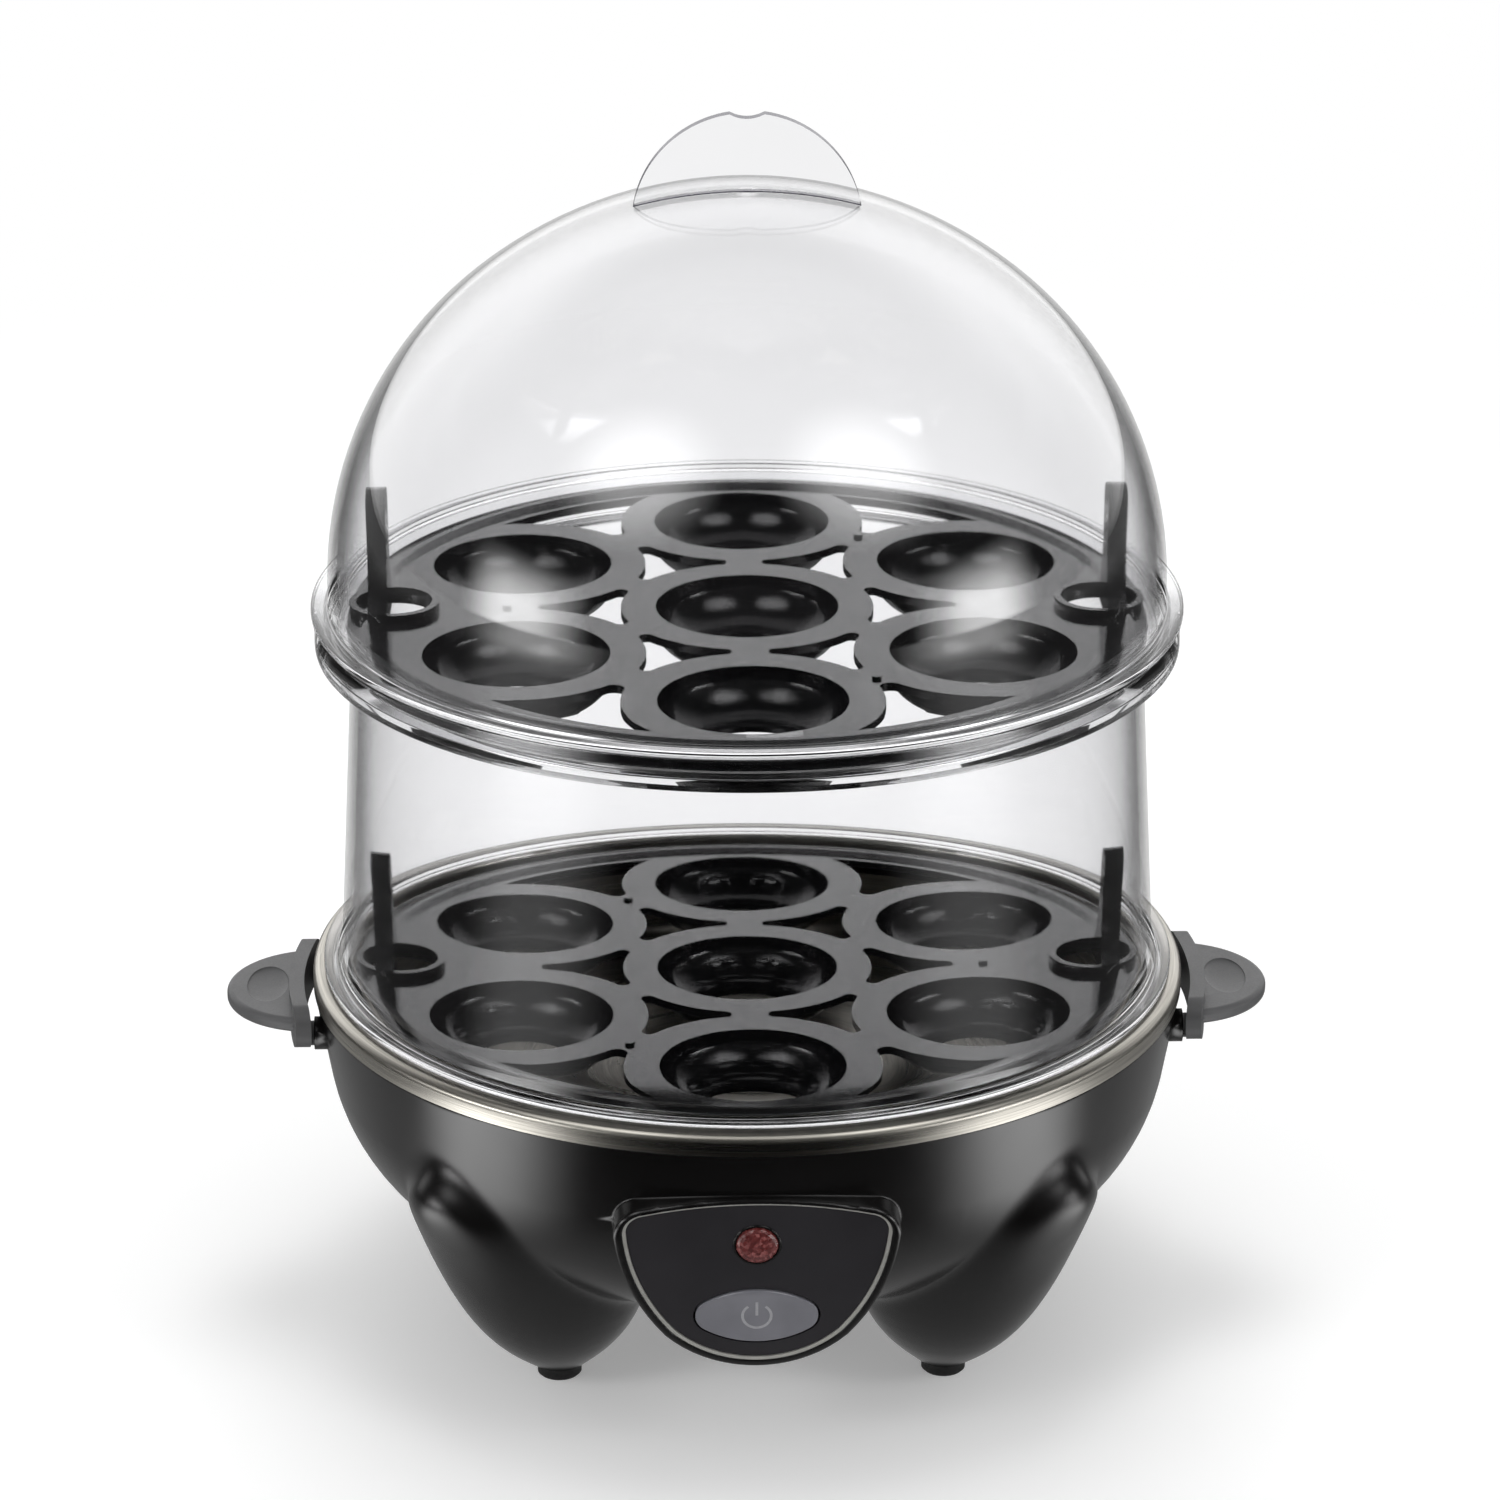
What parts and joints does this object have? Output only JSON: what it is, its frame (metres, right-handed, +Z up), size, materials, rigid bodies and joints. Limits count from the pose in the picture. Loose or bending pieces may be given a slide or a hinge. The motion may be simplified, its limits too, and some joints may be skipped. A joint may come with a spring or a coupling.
{
  "type": "egg cooker",
  "caption": "Two-tier electric egg cooker: black footed base with a steel water pan, side handles and sloped control panel, stacked egg trays, a clear steam tier and a clear dome lid.",
  "frame": {"origin": "on the floor under the middle of the pan, the centre of the round body and of the four feet", "axes": "+Z up; -Y towards the front, where the control panel is; +X to the right seen from the front, along the line through both handles"},
  "size_m": [0.222, 0.1848, 0.2626],
  "materials": {
    "housing_plastic": "glossy black",
    "tray_plastic": "glossy black",
    "handle_plastic": "matte dark grey",
    "panel_plastic": "satin near-black",
    "clear_plastic": "clear, smooth",
    "lens_red": "translucent dark red",
    "button_grey": "satin grey",
    "inner_plastic": "moulded off-white",
    "switch_plastic": "moulded black",
    "pan_steel": "fine circumferential brushing",
    "sheet_steel": "plain sheet",
    "element_steel": "sheathed element, dull",
    "bright_trim": "bright",
    "spreader_aluminium": "plain",
    "screw_steel": "zinc plated",
    "spring_steel": "drawn wire",
    "foot_rubber": "matte black"
  },
  "bodies": {
    "base": {"base_housing": "housing_plastic", "bottom_cover": "switch_plastic", "bracket_screw_left": "screw_steel", "bracket_screw_right": "screw_steel", "button_spring": "spring_steel", "control_panel": "panel_plastic", "cord_gland": "switch_plastic", "cover_screw_front_left": "screw_steel", "cover_screw_front_right": "screw_steel", "cover_screw_rear_left": "screw_steel", "cover_screw_rear_right": "screw_steel", "fuse_clip": "spreader_aluminium", "gland_nut": "switch_plastic", "heat_spreader": "spreader_aluminium", "heating_element": "element_steel", "heating_pan": "pan_steel", "indicator_lamp": "inner_plastic", "indicator_lens": "lens_red", "lamp_holder": "switch_plastic", "left_handle": "handle_plastic", "left_handle_screw_front": "screw_steel", "left_handle_screw_rear": "screw_steel", "pan_standoff_left": "inner_plastic", "pan_standoff_rear": "inner_plastic", "pan_standoff_right": "inner_plastic", "panel_trim": "bright_trim", "right_handle": "handle_plastic", "right_handle_screw_front": "screw_steel", "right_handle_screw_rear": "screw_steel", "rubber_foot_front_left": "foot_rubber", "rubber_foot_front_right": "foot_rubber", "rubber_foot_rear_left": "foot_rubber", "rubber_foot_rear_right": "foot_rubber", "switch_body": "switch_plastic", "switch_bracket": "sheet_steel", "switch_screw_left": "screw_steel", "switch_screw_right": "screw_steel", "terminal_block": "inner_plastic", "terminal_screw_left": "screw_steel", "terminal_screw_right": "screw_steel", "thermal_fuse": "inner_plastic", "thermostat": "inner_plastic", "thermostat_bracket": "sheet_steel"},
    "lower_tray": {"lower_egg_tray": "tray_plastic"},
    "tier": {"steam_tier": "clear_plastic"},
    "upper_tray": {"upper_egg_tray": "tray_plastic"},
    "lid": {"dome_lid": "clear_plastic"},
    "button": {"power_button": "button_grey"}
  },
  "joints": [
    {"name": "lower_tray_lift", "type": "slide", "parent": "base", "child": "lower_tray", "axis": [0, 0, 1], "range_m": [0, 0.045]},
    {"name": "tier_lift", "type": "slide", "parent": "lower_tray", "child": "tier", "axis": [0, 0, 1], "range_m": [0, 0.06]},
    {"name": "upper_tray_lift", "type": "slide", "parent": "tier", "child": "upper_tray", "axis": [0, 0, 1], "range_m": [0, 0.04]},
    {"name": "lid_lift", "type": "slide", "parent": "upper_tray", "child": "lid", "axis": [0, 0, 1], "range_m": [0, 0.06]},
    {"name": "button_press", "type": "slide", "parent": "base", "child": "button", "axis": [0, 0.9848, 0.1736], "range_m": [0, 0.002], "stiffness_N_per_m": 400}
  ]
}
